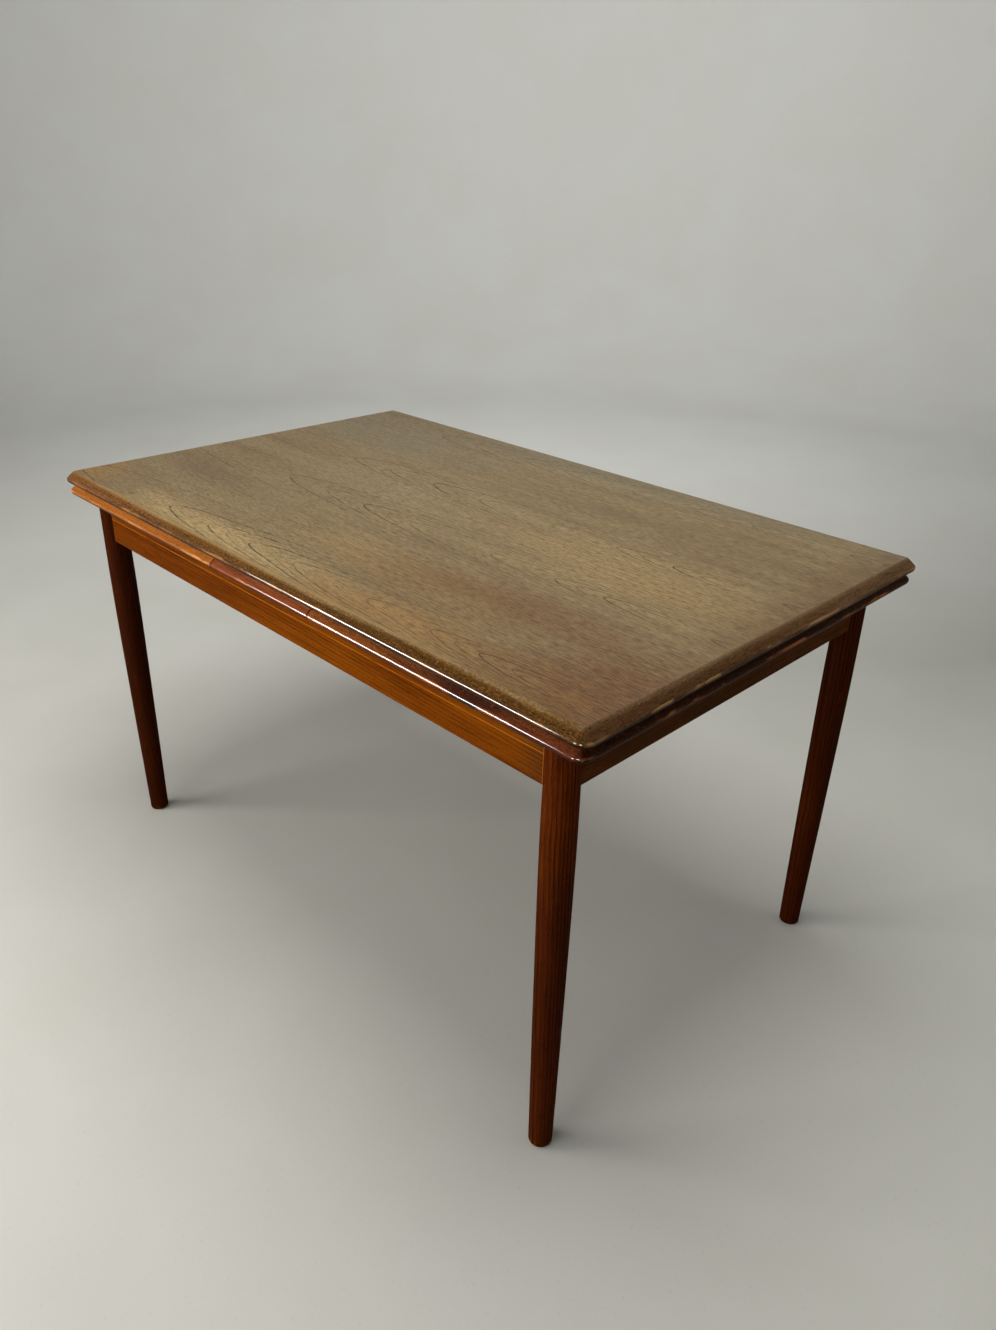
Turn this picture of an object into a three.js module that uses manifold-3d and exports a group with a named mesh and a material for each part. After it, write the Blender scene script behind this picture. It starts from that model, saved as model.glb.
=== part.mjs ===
// Extendable dining table. A loose top lies over two draw leaves and a fixed centre board, on an
// apron frame with four round tapered legs. Each leaf rides on two runners that pass through
// notches in its end apron and through slots in two cross bearers.
//
// Millimetres, +Z up, +X along the length, +Y towards the back. The origin is on the floor, under
// the middle of the table.

import * as THREE from 'three';
import { mergeVertices } from 'three/addons/utils/BufferGeometryUtils.js';
import Module from 'manifold-3d';

const wasm = await Module();
wasm.setup();

// ---------------------------------------------------------------- driving dimensions

const TABLE_HEIGHT = 750;
const GLUE_GAP = 0.3; // between pieces that touch
const MITRE_GAP = 0.2; // from each mitred end to the true mitre line

// Boards: the top, the leaves and the centre board share one thickness and one solid edge
const BOARD_THICKNESS = 21;
const TOP_LENGTH = 1300;
const TOP_WIDTH = 800;
const TOP_CORNER_RADIUS = 18;
const LAYER_GAP = 1; // air between the top and the layer below it
const LEAF_INSET_END = 5; // from the top's outline to the leaf's
const LEAF_INSET_SIDE = 2.5;
const LEAF_CORNER_RADIUS = 17;
const CENTRE_BOARD_LENGTH = 260;
const SEAM_GAP = 0.4;
const LEAF_TRAVEL = 520;

// Solid edge (lipping) of the boards
const EDGE_WIDTH = 16;
const BEVEL_WIDTH = 14;
const NOSE_DROP = 14; // from the upper face down to the furthest point of the edge
const NOSE_ROUNDING = 2.6; // width of the rounding between bevel and nose
const NOSE_RISE = 3.8; // height of that rounding
const UNDERCUT = 6; // width of the rounding below the nose

// Frame
const APRON_BOTTOM = 625;
const APRON_CLEARANCE = 0.5; // under the leaves
const APRON_THICKNESS = 21;
const END_APRON_INSET = 61.5; // from the top's end to the apron's outer face
const SIDE_APRON_INSET = 40;
const BEARER_OFFSET = 110; // from the middle of the table to a bearer's middle
const BEARER_THICKNESS = 22;
const BEARER_DEPTH = 60;
const BLOCK_LEG = 72; // length of a corner block along each apron
const BLOCK_BOTTOM = 640;
const BLOCK_TOP = 677;

// Legs
const LEG_INSET_X = 73.5; // from the top's end to the leg's axis
const LEG_INSET_Y = 52;
const LEG_TOP_RADIUS = 22.6;
const LEG_SWELL_RADIUS = 23.6;
const LEG_SWELL_HEIGHT = 525;
const LEG_MID_RADIUS = 21.4;
const LEG_MID_HEIGHT = 275;
const LEG_FOOT_RADIUS = 18;
const LEG_FOOT_ROUNDING = 4;
const LEG_LIFT = 1.5; // the glide holds the wood off the floor

// Runners and stops
const RUNNER_WIDTH = 22;
const RUNNER_HEIGHT = 25;
const RUNNER_REACH_IN = 500; // how far a runner reaches past the middle of the table
const RUNNER_REACH_OUT = 597;
const RUNNER_OFFSET_RIGHT = 247; // from the middle of the width to a right runner's middle
const RUNNER_OFFSET_LEFT = 293;
const RUNNER_CLEARANCE = 1;
const STOP_LENGTH = 24;
const STOP_HEIGHT = 11;

// Guide pegs
const PEG_RADIUS = 12;
const PEG_OFFSET = 180;
const PEG_SOCKET_DEPTH = 10;
const PEG_HOLE_CLEARANCE = 1;
const PEG_STOP_RADIUS = 22;
const PEG_STOP_THICKNESS = 6;
const TOP_LIFT = 26; // from the stop disc up to the centre board

// Hardware
const BOLT_RADIUS = 4;
const BOLT_IN_LEG = 16; // depth of the bolt in the leg, from the leg's surface
const BOLT_PAST_BLOCK = 16;
const NUT_RADIUS = 8;
const NUT_LENGTH = 9;
const WING_SPAN = 34;
const WING_THICKNESS = 3;
const GLIDE_RADIUS = 11;
const GLIDE_THICKNESS = 2.6;
const GLIDE_PIN_RADIUS = 1.6;
const GLIDE_PIN_LENGTH = 14;

// ---------------------------------------------------------------- derived places

const TOP_UNDERSIDE = TABLE_HEIGHT - BOARD_THICKNESS;
const LEAF_TOP = TOP_UNDERSIDE - LAYER_GAP;
const LEAF_UNDERSIDE = LEAF_TOP - BOARD_THICKNESS;
const APRON_TOP = LEAF_UNDERSIDE - APRON_CLEARANCE;
const END_FACE = TOP_LENGTH / 2 - END_APRON_INSET;
const SIDE_FACE = TOP_WIDTH / 2 - SIDE_APRON_INSET;
const LEG_X = TOP_LENGTH / 2 - LEG_INSET_X;
const LEG_Y = TOP_WIDTH / 2 - LEG_INSET_Y;
const LEAF_HALF_LENGTH = TOP_LENGTH / 2 - LEAF_INSET_END;
const LEAF_HALF_WIDTH = TOP_WIDTH / 2 - LEAF_INSET_SIDE;
const LEAF_INNER = CENTRE_BOARD_LENGTH / 2 + SEAM_GAP / 2;
const CENTRE_HALF = CENTRE_BOARD_LENGTH / 2 - SEAM_GAP / 2;
const RUNNER_TOP = LEAF_UNDERSIDE - GLUE_GAP;
const RUNNER_BOTTOM = RUNNER_TOP - RUNNER_HEIGHT;
const STOP_TOP = RUNNER_BOTTOM - GLUE_GAP;
const STOP_BOTTOM = STOP_TOP - STOP_HEIGHT;
const STOP_FACE = BEARER_OFFSET - BEARER_THICKNESS / 2 - LEAF_TRAVEL - GLUE_GAP;
const BEARER_TOP = LEAF_UNDERSIDE - GLUE_GAP;
const BEARER_HALF_LENGTH = SIDE_FACE - APRON_THICKNESS - GLUE_GAP;
const BLOCK_X = END_FACE - APRON_THICKNESS - GLUE_GAP;
const BLOCK_Y = SIDE_FACE - APRON_THICKNESS - GLUE_GAP;
const BOLT_HEIGHT = (BLOCK_BOTTOM + BLOCK_TOP) / 2;
const PEG_BOTTOM = LEAF_UNDERSIDE - TOP_LIFT + GLUE_GAP;

const OVERCUT = 10; // how far a cutting solid runs past the piece it cuts
const CURVE_SEGMENTS = 5;
const ROUND_SEGMENTS = 32;
const SMALL_SEGMENTS = 16;

// ---------------------------------------------------------------- materials

function wood(color, roughness) {
  return new THREE.MeshStandardMaterial({ color, roughness, metalness: 0 });
}

const materials = {
  topVeneer: () => wood(0x7a6346, 0.5),
  topLipping: () => wood(0x5a3a20, 0.35),
  leafVeneer: () => wood(0x9a6a40, 0.55),
  leafLipping: () => wood(0xa05c30, 0.35),
  apronTeak: () => wood(0x6e3a14, 0.45),
  legTeak: () => wood(0x52230d, 0.38),
  beech: () => wood(0xb9905f, 0.65),
  steel: () => new THREE.MeshStandardMaterial({ color: 0x9a9a98, roughness: 0.35, metalness: 1 }),
  nylon: () => wood(0x2a2725, 0.6),
};

// ---------------------------------------------------------------- solids

// A closed geometry as a solid that can be cut and joined.
function solid(geometry) {
  geometry.deleteAttribute('normal');
  geometry.deleteAttribute('uv');
  const merged = mergeVertices(geometry, 1e-4);
  const corners = merged.index.array;
  const triangles = [];
  for (let i = 0; i < corners.length; i += 3) {
    const [a, b, c] = [corners[i], corners[i + 1], corners[i + 2]];
    if (a !== b && b !== c && c !== a) {
      triangles.push(a, b, c);
    }
  }
  const mesh = new wasm.Mesh({
    numProp: 3,
    vertProperties: new Float32Array(merged.attributes.position.array),
    triVerts: new Uint32Array(triangles),
  });
  return new wasm.Manifold(mesh);
}

function block(x, y, z) {
  const geometry = new THREE.BoxGeometry(x[1] - x[0], y[1] - y[0], z[1] - z[0]);
  geometry.translate((x[0] + x[1]) / 2, (y[0] + y[1]) / 2, (z[0] + z[1]) / 2);
  return solid(geometry);
}

// An outline in plan, raised from z[0] to z[1].
function prism(outline, z) {
  const geometry = new THREE.ExtrudeGeometry(outline, {
    depth: z[1] - z[0],
    bevelEnabled: false,
    curveSegments: CURVE_SEGMENTS,
  });
  geometry.translate(0, 0, z[0]);
  return solid(geometry);
}

// A section drawn with x along +X and y along +Z, run along Y from y[0] to y[1].
function strip(section, y) {
  const geometry = new THREE.ExtrudeGeometry(section, {
    depth: y[1] - y[0],
    bevelEnabled: false,
    curveSegments: CURVE_SEGMENTS,
  });
  geometry.rotateX(Math.PI / 2);
  geometry.translate(0, y[1], 0);
  return solid(geometry);
}

// A profile of (radius, height) points, turned about the vertical axis.
function turned(profile, segments) {
  const geometry = new THREE.LatheGeometry(profile, segments);
  geometry.rotateX(Math.PI / 2);
  return solid(geometry);
}

function rod(radius, z, segments) {
  const profile = [
    new THREE.Vector2(0, z[0]),
    new THREE.Vector2(radius, z[0]),
    new THREE.Vector2(radius, z[1]),
    new THREE.Vector2(0, z[1]),
  ];
  return turned(profile, segments);
}

function polygon(points) {
  return new THREE.Shape(points.map(([x, y]) => new THREE.Vector2(x, y)));
}

// ---------------------------------------------------------------- scene graph

const table = new THREE.Group();

function add(name, body, makeMaterial) {
  const mesh = body.getMesh();
  const geometry = new THREE.BufferGeometry();
  geometry.setAttribute('position', new THREE.BufferAttribute(mesh.vertProperties, 3));
  geometry.setIndex(new THREE.BufferAttribute(mesh.triVerts, 1));
  geometry.computeVertexNormals();
  const piece = new THREE.Mesh(geometry, makeMaterial());
  piece.name = name;
  table.add(piece);
}

// The four corners of the frame: the name of each, and its signs along X and Y.
const corners = [
  ['front_left', -1, -1],
  ['front_right', 1, -1],
  ['back_left', -1, 1],
  ['back_right', 1, 1],
];

// ---------------------------------------------------------------- edges

// Section of a solid edge whose furthest point is at x = outer: a bevel falls to a nose below the
// middle, which then rounds in under the board.
function edgeSection(outer, upper) {
  const lower = upper - BOARD_THICKNESS;
  const nose = upper - NOSE_DROP;
  const bevelSlope = (NOSE_DROP - NOSE_RISE) / (BEVEL_WIDTH - NOSE_ROUNDING);
  const section = new THREE.Shape();
  section.moveTo(outer - EDGE_WIDTH, lower);
  section.lineTo(outer - UNDERCUT, lower);
  section.quadraticCurveTo(outer, lower, outer, nose);
  section.quadraticCurveTo(
    outer,
    nose + NOSE_RISE - bevelSlope * NOSE_ROUNDING,
    outer - NOSE_ROUNDING,
    nose + NOSE_RISE,
  );
  section.lineTo(outer - BEVEL_WIDTH, upper);
  section.lineTo(outer - EDGE_WIDTH, upper);
  section.closePath();
  return section;
}

// The same section turned about a vertical axis, for a rounded corner of the given radius.
function cornerRing(radius, upper) {
  const profile = edgeSection(radius, upper).getPoints(CURVE_SEGMENTS);
  return turned(profile, ROUND_SEGMENTS);
}

// Plan of an edge at x = outer with both ends mitred, for a board of the given half width.
function mitredPlan(outer, halfWidth) {
  const inner = outer - EDGE_WIDTH;
  const far = outer + OVERCUT;
  const reach = (x) => halfWidth - (outer - x) - MITRE_GAP;
  return polygon([
    [inner, -reach(inner)],
    [far, -reach(far)],
    [far, reach(far)],
    [inner, reach(inner)],
  ]);
}

// The edge of a board along one side, with its half of both rounded corners. The side's outward
// direction is turned by quarterTurns from +X.
function mitredEdge(outer, halfWidth, radius, upper, quarterTurns) {
  const straight = halfWidth - radius;
  const ring = cornerRing(radius, upper);
  const run = strip(edgeSection(outer, upper), [-straight, straight])
    .add(ring.translate([outer - radius, -straight, 0]))
    .add(ring.translate([outer - radius, straight, 0]));
  const plan = mitredPlan(outer, halfWidth);
  const heights = [upper - BOARD_THICKNESS - OVERCUT, upper + OVERCUT];
  return run.intersect(prism(plan, heights)).rotate([0, 0, 90 * quarterTurns]);
}

// ---------------------------------------------------------------- top

function addTop() {
  const halfX = TOP_LENGTH / 2;
  const halfY = TOP_WIDTH / 2;
  const sides = [
    ['right', halfX, halfY, 0],
    ['back', halfY, halfX, 1],
    ['left', halfX, halfY, 2],
    ['front', halfY, halfX, 3],
  ];
  for (const [side, outer, halfWidth, turns] of sides) {
    const edge = mitredEdge(outer, halfWidth, TOP_CORNER_RADIUS, TABLE_HEIGHT, turns);
    add(`top_lipping_${side}`, edge, materials.topLipping);
  }

  const panelX = halfX - EDGE_WIDTH - GLUE_GAP;
  const panelY = halfY - EDGE_WIDTH - GLUE_GAP;
  let panel = block([-panelX, panelX], [-panelY, panelY], [TOP_UNDERSIDE, TABLE_HEIGHT]);
  const socketTop = TOP_UNDERSIDE + PEG_SOCKET_DEPTH;
  for (const sign of [-1, 1]) {
    const socket = rod(PEG_RADIUS + GLUE_GAP, [TOP_UNDERSIDE - OVERCUT, socketTop], ROUND_SEGMENTS);
    panel = panel.subtract(socket.translate([0, sign * PEG_OFFSET, 0]));
  }
  add('top_panel', panel, materials.topVeneer);

  for (const [place, sign] of [['front', -1], ['back', 1]]) {
    const at = [0, sign * PEG_OFFSET, 0];
    const peg = rod(PEG_RADIUS, [PEG_BOTTOM, socketTop - GLUE_GAP], ROUND_SEGMENTS);
    add(`guide_peg_${place}`, peg.translate(at), materials.beech);
    const stopTop = PEG_BOTTOM - GLUE_GAP;
    const stop = rod(PEG_STOP_RADIUS, [stopTop - PEG_STOP_THICKNESS, stopTop], ROUND_SEGMENTS);
    add(`peg_stop_${place}`, stop.translate(at), materials.beech);
  }
}

// ---------------------------------------------------------------- centre board

function addCentreBoard() {
  const ends = [-CENTRE_HALF, CENTRE_HALF];
  const panelY = LEAF_HALF_WIDTH - EDGE_WIDTH - GLUE_GAP;
  let panel = block(ends, [-panelY, panelY], [LEAF_UNDERSIDE, LEAF_TOP]);
  for (const sign of [-1, 1]) {
    const heights = [LEAF_UNDERSIDE - OVERCUT, LEAF_TOP + OVERCUT];
    const hole = rod(PEG_RADIUS + PEG_HOLE_CLEARANCE, heights, ROUND_SEGMENTS);
    panel = panel.subtract(hole.translate([0, sign * PEG_OFFSET, 0]));
  }
  add('centre_board', panel, materials.leafVeneer);

  const edge = strip(edgeSection(LEAF_HALF_WIDTH, LEAF_TOP), ends);
  add('centre_lipping_front', edge.rotate([0, 0, -90]), materials.leafLipping);
  add('centre_lipping_back', edge.rotate([0, 0, 90]), materials.leafLipping);
}

// ---------------------------------------------------------------- draw leaves

// One leaf at the +X end, turned half way round for the other end.
function addLeaf(side, halfTurns, runnerOffset) {
  const place = (body) => body.rotate([0, 0, 180 * halfTurns]);
  const [front, back] = halfTurns ? ['back', 'front'] : ['front', 'back'];
  const name = (part) => `leaf_${side}_${part}`;

  const kept = block(
    [LEAF_INNER, TOP_LENGTH],
    [-TOP_WIDTH, TOP_WIDTH],
    [LEAF_UNDERSIDE - OVERCUT, LEAF_TOP + OVERCUT],
  );
  const edges = [
    ['lipping_outer', LEAF_HALF_LENGTH, LEAF_HALF_WIDTH, 0],
    [`lipping_${back}`, LEAF_HALF_WIDTH, LEAF_HALF_LENGTH, 1],
    [`lipping_${front}`, LEAF_HALF_WIDTH, LEAF_HALF_LENGTH, 3],
  ];
  for (const [part, outer, halfWidth, turns] of edges) {
    const whole = mitredEdge(outer, halfWidth, LEAF_CORNER_RADIUS, LEAF_TOP, turns);
    add(name(part), place(whole.intersect(kept)), materials.leafLipping);
  }

  const panelY = LEAF_HALF_WIDTH - EDGE_WIDTH - GLUE_GAP;
  const heights = [LEAF_UNDERSIDE, LEAF_TOP];
  const innerEnd = LEAF_INNER + EDGE_WIDTH;
  const inner = block([LEAF_INNER, innerEnd], [-panelY, panelY], heights);
  add(name('lipping_inner'), place(inner), materials.leafLipping);

  const panelEnd = LEAF_HALF_LENGTH - EDGE_WIDTH - GLUE_GAP;
  const panel = block([innerEnd + GLUE_GAP, panelEnd], [-panelY, panelY], heights);
  add(name('panel'), place(panel), materials.leafVeneer);

  for (const [row, sign] of [[front, -1], [back, 1]]) {
    const middle = sign * runnerOffset;
    const width = [middle - RUNNER_WIDTH / 2, middle + RUNNER_WIDTH / 2];
    const runner = strip(runnerSection(), width);
    add(name(`runner_${row}`), place(runner), materials.beech);
    const stop = block([STOP_FACE - STOP_LENGTH, STOP_FACE], width, [STOP_BOTTOM, STOP_TOP]);
    add(name(`stop_${row}`), place(stop), materials.beech);
  }
}

// Side view of a runner, with the lower corner of each end taken off.
function runnerSection() {
  const chamfer = 8;
  return polygon([
    [-RUNNER_REACH_IN, RUNNER_TOP],
    [-RUNNER_REACH_IN, RUNNER_BOTTOM + chamfer],
    [-RUNNER_REACH_IN + chamfer, RUNNER_BOTTOM],
    [RUNNER_REACH_OUT - chamfer, RUNNER_BOTTOM],
    [RUNNER_REACH_OUT, RUNNER_BOTTOM + chamfer],
    [RUNNER_REACH_OUT, RUNNER_TOP],
  ]);
}

// ---------------------------------------------------------------- legs

// Outline of a leg: a rounded foot, a slight swell below the apron and a flat top.
function legProfile() {
  const foot = LEG_LIFT;
  const taper = new THREE.SplineCurve([
    new THREE.Vector2(LEG_FOOT_RADIUS, foot + LEG_FOOT_ROUNDING),
    new THREE.Vector2(LEG_MID_RADIUS, LEG_MID_HEIGHT),
    new THREE.Vector2(LEG_SWELL_RADIUS, LEG_SWELL_HEIGHT),
    new THREE.Vector2(LEG_TOP_RADIUS, APRON_TOP),
  ]);
  const rounding = new THREE.QuadraticBezierCurve(
    new THREE.Vector2(LEG_FOOT_RADIUS - LEG_FOOT_ROUNDING, foot),
    new THREE.Vector2(LEG_FOOT_RADIUS, foot),
    new THREE.Vector2(LEG_FOOT_RADIUS, foot + LEG_FOOT_ROUNDING),
  );
  return [
    new THREE.Vector2(0, foot),
    ...rounding.getPoints(3),
    ...taper.getPoints(12).slice(1),
    new THREE.Vector2(0, APRON_TOP),
  ];
}

// A rod along the diagonal from a leg's axis towards the middle of the table.
function diagonalRod(radius, along, signX, signY, segments) {
  const angle = Math.atan2(-signY, -signX) * 180 / Math.PI;
  const lying = rod(radius, along, segments).rotate([0, 90, 0]);
  return lying.rotate([0, 0, angle]).translate([signX * LEG_X, signY * LEG_Y, BOLT_HEIGHT]);
}

// Distance from a leg's axis to the corner block's inner face, along the diagonal.
const BLOCK_FACE = (BLOCK_LEG + (LEG_X - BLOCK_X) + (LEG_Y - BLOCK_Y)) / Math.SQRT2;
const BOLT_START = LEG_SWELL_RADIUS - BOLT_IN_LEG;
const BOLT_END = BLOCK_FACE + BOLT_PAST_BLOCK;

function addLegs() {
  const outline = turned(legProfile(), ROUND_SEGMENTS);
  const glideTop = GLIDE_THICKNESS + GLUE_GAP;
  const recess = rod(GLIDE_RADIUS + GLUE_GAP, [-OVERCUT, glideTop], SMALL_SEGMENTS);
  const pinHole = rod(
    GLIDE_PIN_RADIUS + GLUE_GAP,
    [0, GLIDE_THICKNESS + GLIDE_PIN_LENGTH + GLUE_GAP],
    SMALL_SEGMENTS,
  );
  const leg = outline.subtract(recess).subtract(pinHole);
  const glide = turned(
    [
      new THREE.Vector2(0, 0),
      new THREE.Vector2(GLIDE_RADIUS - 1, 0),
      new THREE.Vector2(GLIDE_RADIUS, 1),
      new THREE.Vector2(GLIDE_RADIUS, GLIDE_THICKNESS),
      new THREE.Vector2(GLIDE_PIN_RADIUS, GLIDE_THICKNESS),
      new THREE.Vector2(GLIDE_PIN_RADIUS, GLIDE_THICKNESS + GLIDE_PIN_LENGTH),
      new THREE.Vector2(0, GLIDE_THICKNESS + GLIDE_PIN_LENGTH),
    ],
    SMALL_SEGMENTS,
  );
  for (const [corner, signX, signY] of corners) {
    const at = [signX * LEG_X, signY * LEG_Y, 0];
    const hole = diagonalRod(
      BOLT_RADIUS + GLUE_GAP,
      [BOLT_START - GLUE_GAP, BLOCK_FACE],
      signX,
      signY,
      SMALL_SEGMENTS,
    );
    add(`leg_${corner}`, leg.translate(at).subtract(hole), materials.legTeak);
    add(`foot_glide_${corner}`, glide.translate(at), materials.nylon);
  }
}

// ---------------------------------------------------------------- aprons

// The space a leg takes from its neighbours: the leg with the gap around it.
function legClearance(signX, signY) {
  const radius = LEG_SWELL_RADIUS + GLUE_GAP;
  const post = rod(radius, [APRON_BOTTOM - OVERCUT, APRON_TOP + OVERCUT], ROUND_SEGMENTS);
  return post.translate([signX * LEG_X, signY * LEG_Y, 0]);
}

function withoutLegs(body) {
  let cut = body;
  for (const [, signX, signY] of corners) {
    cut = cut.subtract(legClearance(signX, signY));
  }
  return cut;
}

function addAprons() {
  const heights = [APRON_BOTTOM, APRON_TOP];
  for (const [place, sign] of [['front', -1], ['back', 1]]) {
    const faces = [sign * SIDE_FACE, sign * (SIDE_FACE - APRON_THICKNESS)].sort((a, b) => a - b);
    const board = block([-LEG_X, LEG_X], faces, heights);
    add(`apron_${place}`, withoutLegs(board), materials.apronTeak);
  }
  const ends = [['left', -1, RUNNER_OFFSET_LEFT], ['right', 1, RUNNER_OFFSET_RIGHT]];
  for (const [place, sign, offset] of ends) {
    const faces = [sign * END_FACE, sign * (END_FACE - APRON_THICKNESS)].sort((a, b) => a - b);
    const board = withoutLegs(block(faces, [-LEG_Y, LEG_Y], heights));
    const notched = board.subtract(runnerSlots(offset, faces, RUNNER_BOTTOM));
    add(`apron_${place}`, notched, materials.apronTeak);
  }
}

// Open-topped slots for the pair of runners at the given offset, down to the given height.
function runnerSlots(offset, x, runnerBottom) {
  const half = RUNNER_WIDTH / 2 + RUNNER_CLEARANCE;
  const length = [x[0] - OVERCUT, x[1] + OVERCUT];
  const heights = [runnerBottom - RUNNER_CLEARANCE, LEAF_UNDERSIDE + OVERCUT];
  const slot = (middle) => block(length, [middle - half, middle + half], heights);
  return slot(-offset).add(slot(offset));
}

// ---------------------------------------------------------------- bearers and corner blocks

// Each bearer lets the runners of its own leaf through at runner height, so their stop blocks
// come up against it, and has deeper slots for the runners of the other leaf and their blocks.
function addBearers() {
  const bearers = [
    ['left', -1, RUNNER_OFFSET_LEFT, RUNNER_OFFSET_RIGHT],
    ['right', 1, RUNNER_OFFSET_RIGHT, RUNNER_OFFSET_LEFT],
  ];
  for (const [place, sign, own, other] of bearers) {
    const middle = sign * BEARER_OFFSET;
    const x = [middle - BEARER_THICKNESS / 2, middle + BEARER_THICKNESS / 2];
    const y = [-BEARER_HALF_LENGTH, BEARER_HALF_LENGTH];
    const board = block(x, y, [BEARER_TOP - BEARER_DEPTH, BEARER_TOP]);
    const slotted = board
      .subtract(runnerSlots(own, x, RUNNER_BOTTOM))
      .subtract(runnerSlots(other, x, STOP_BOTTOM));
    add(`cross_bearer_${place}`, slotted, materials.beech);
  }
}

function addCornerBlocks() {
  for (const [corner, signX, signY] of corners) {
    const outline = polygon([
      [signX * BLOCK_X, signY * BLOCK_Y],
      [signX * (BLOCK_X - BLOCK_LEG), signY * BLOCK_Y],
      [signX * BLOCK_X, signY * (BLOCK_Y - BLOCK_LEG)],
    ]);
    const hole = diagonalRod(
      BOLT_RADIUS + GLUE_GAP,
      [0, BOLT_END],
      signX,
      signY,
      SMALL_SEGMENTS,
    );
    const wedge = prism(outline, [BLOCK_BOTTOM, BLOCK_TOP]).subtract(legClearance(signX, signY));
    add(`corner_block_${corner}`, wedge.subtract(hole), materials.beech);
  }
}

// ---------------------------------------------------------------- hardware

function addHardware() {
  const nutStart = BLOCK_FACE + GLUE_GAP;
  const nutMiddle = nutStart + NUT_LENGTH / 2;
  for (const [corner, signX, signY] of corners) {
    const make = (radius, along, segments) => diagonalRod(radius, along, signX, signY, segments);
    const bolt = make(BOLT_RADIUS, [BOLT_START, BOLT_END], SMALL_SEGMENTS);
    add(`hanger_bolt_${corner}`, bolt, materials.steel);

    const hub = make(NUT_RADIUS, [nutStart, nutStart + NUT_LENGTH], SMALL_SEGMENTS);
    const bore = make(BOLT_RADIUS + GLUE_GAP, [0, BOLT_END + OVERCUT], SMALL_SEGMENTS);
    const angle = Math.atan2(-signY, -signX) * 180 / Math.PI;
    const wings = block(
      [nutMiddle - NUT_LENGTH / 2, nutMiddle + NUT_LENGTH / 2],
      [-WING_SPAN / 2, WING_SPAN / 2],
      [-WING_THICKNESS / 2, WING_THICKNESS / 2],
    );
    const placedWings = wings
      .rotate([0, 0, angle])
      .translate([signX * LEG_X, signY * LEG_Y, BOLT_HEIGHT]);
    add(`wing_nut_${corner}`, hub.add(placedWings).subtract(bore), materials.steel);
  }
}

addTop();
addCentreBoard();
addLeaf('right', 0, RUNNER_OFFSET_RIGHT);
addLeaf('left', 1, RUNNER_OFFSET_LEFT);
addLegs();
addAprons();
addBearers();
addCornerBlocks();
addHardware();

export default table;
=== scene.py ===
import math

import bmesh
import bpy
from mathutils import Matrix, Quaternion, Vector, noise


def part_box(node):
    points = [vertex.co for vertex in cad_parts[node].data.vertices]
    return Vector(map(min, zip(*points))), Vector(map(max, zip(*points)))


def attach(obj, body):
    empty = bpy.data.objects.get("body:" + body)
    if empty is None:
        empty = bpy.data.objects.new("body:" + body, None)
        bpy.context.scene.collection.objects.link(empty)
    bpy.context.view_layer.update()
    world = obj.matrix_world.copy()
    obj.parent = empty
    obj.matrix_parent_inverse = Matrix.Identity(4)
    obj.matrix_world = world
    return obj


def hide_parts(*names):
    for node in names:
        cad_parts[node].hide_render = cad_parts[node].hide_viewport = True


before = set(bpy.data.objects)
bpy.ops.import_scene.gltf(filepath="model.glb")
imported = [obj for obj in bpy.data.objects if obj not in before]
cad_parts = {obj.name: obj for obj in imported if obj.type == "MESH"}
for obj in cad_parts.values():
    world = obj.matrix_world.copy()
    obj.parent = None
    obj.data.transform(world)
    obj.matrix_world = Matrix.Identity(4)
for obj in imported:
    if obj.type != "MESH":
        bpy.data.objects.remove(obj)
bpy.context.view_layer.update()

MM = 0.001

# ---- shapes

EDGE_WIDTH = 16 * MM
BEVEL_WIDTH = 14 * MM
NOSE_DROP = 14 * MM  # from a board's upper face to the furthest point of its edge
NOSE_ROUNDING = 2.6 * MM
NOSE_RISE = 3.8 * MM
UNDERCUT = 6 * MM
UNDERCUT_PULL = (0.4 * MM, 0.2 * MM)  # inset and rise of its middle
FLAT_UNDER = 4 * MM
ROLL_OVER = 4.5 * MM  # rounding of the bevel's upper arris
TOP_CORNER = 18 * MM  # plan radius of the top's corners
LEAF_CORNER = 17 * MM

FINE_GAP = 0.06 * MM  # between pieces of finished wood
FIELD_OVERLAP = 0.3 * MM  # over the CAD's gap round a field
ARRIS = 0.9 * MM  # chamfer at the end of an edge piece
END_SHRINK = 0.07  # of an edge piece's end
STATION_STEP = 12 * MM
CORNER_SECTIONS = 9
FIELD_STEP = 25 * MM

NOSE_REACH = 3.0 * MM
NOSE_CLEAR = 6 * MM  # of the upper face
UNEVENNESS = 0.12 * MM
DENT_DEPTH = 1.1 * MM
DENT_START = 0.42
ARRIS_WEAR = 0.3  # against the nose's
ARRIS_REACH = 1.6 * MM
ARRIS_DEPTH = 2 * MM
RUB_REACH = 1.2 * MM
RUB_WEAR = 1.6
GLOSS_REACH = 4.5 * MM
GLOSS_START = 0.6 * MM  # above the nose
SHADE_DEPTH = 3 * MM  # below the nose
JOINT_SHADE = 0.6
CROWN_TAPER = 0.3  # towards an edge's ends

APRON_ARRIS = 1.2 * MM
END_ARRIS = 0.9 * MM
# pale mark on the aprons' end arrises: painted highlight
APRON_END_HIGHLIGHT = 0.9
APRON_SECTIONS = 90
NOTCH_ROOM = 1 * MM  # round a runner in its notch
NOTCH_CORNER = 0.01 * MM
LEG_KEEP_OUT = 22 * MM  # from its axis

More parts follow.
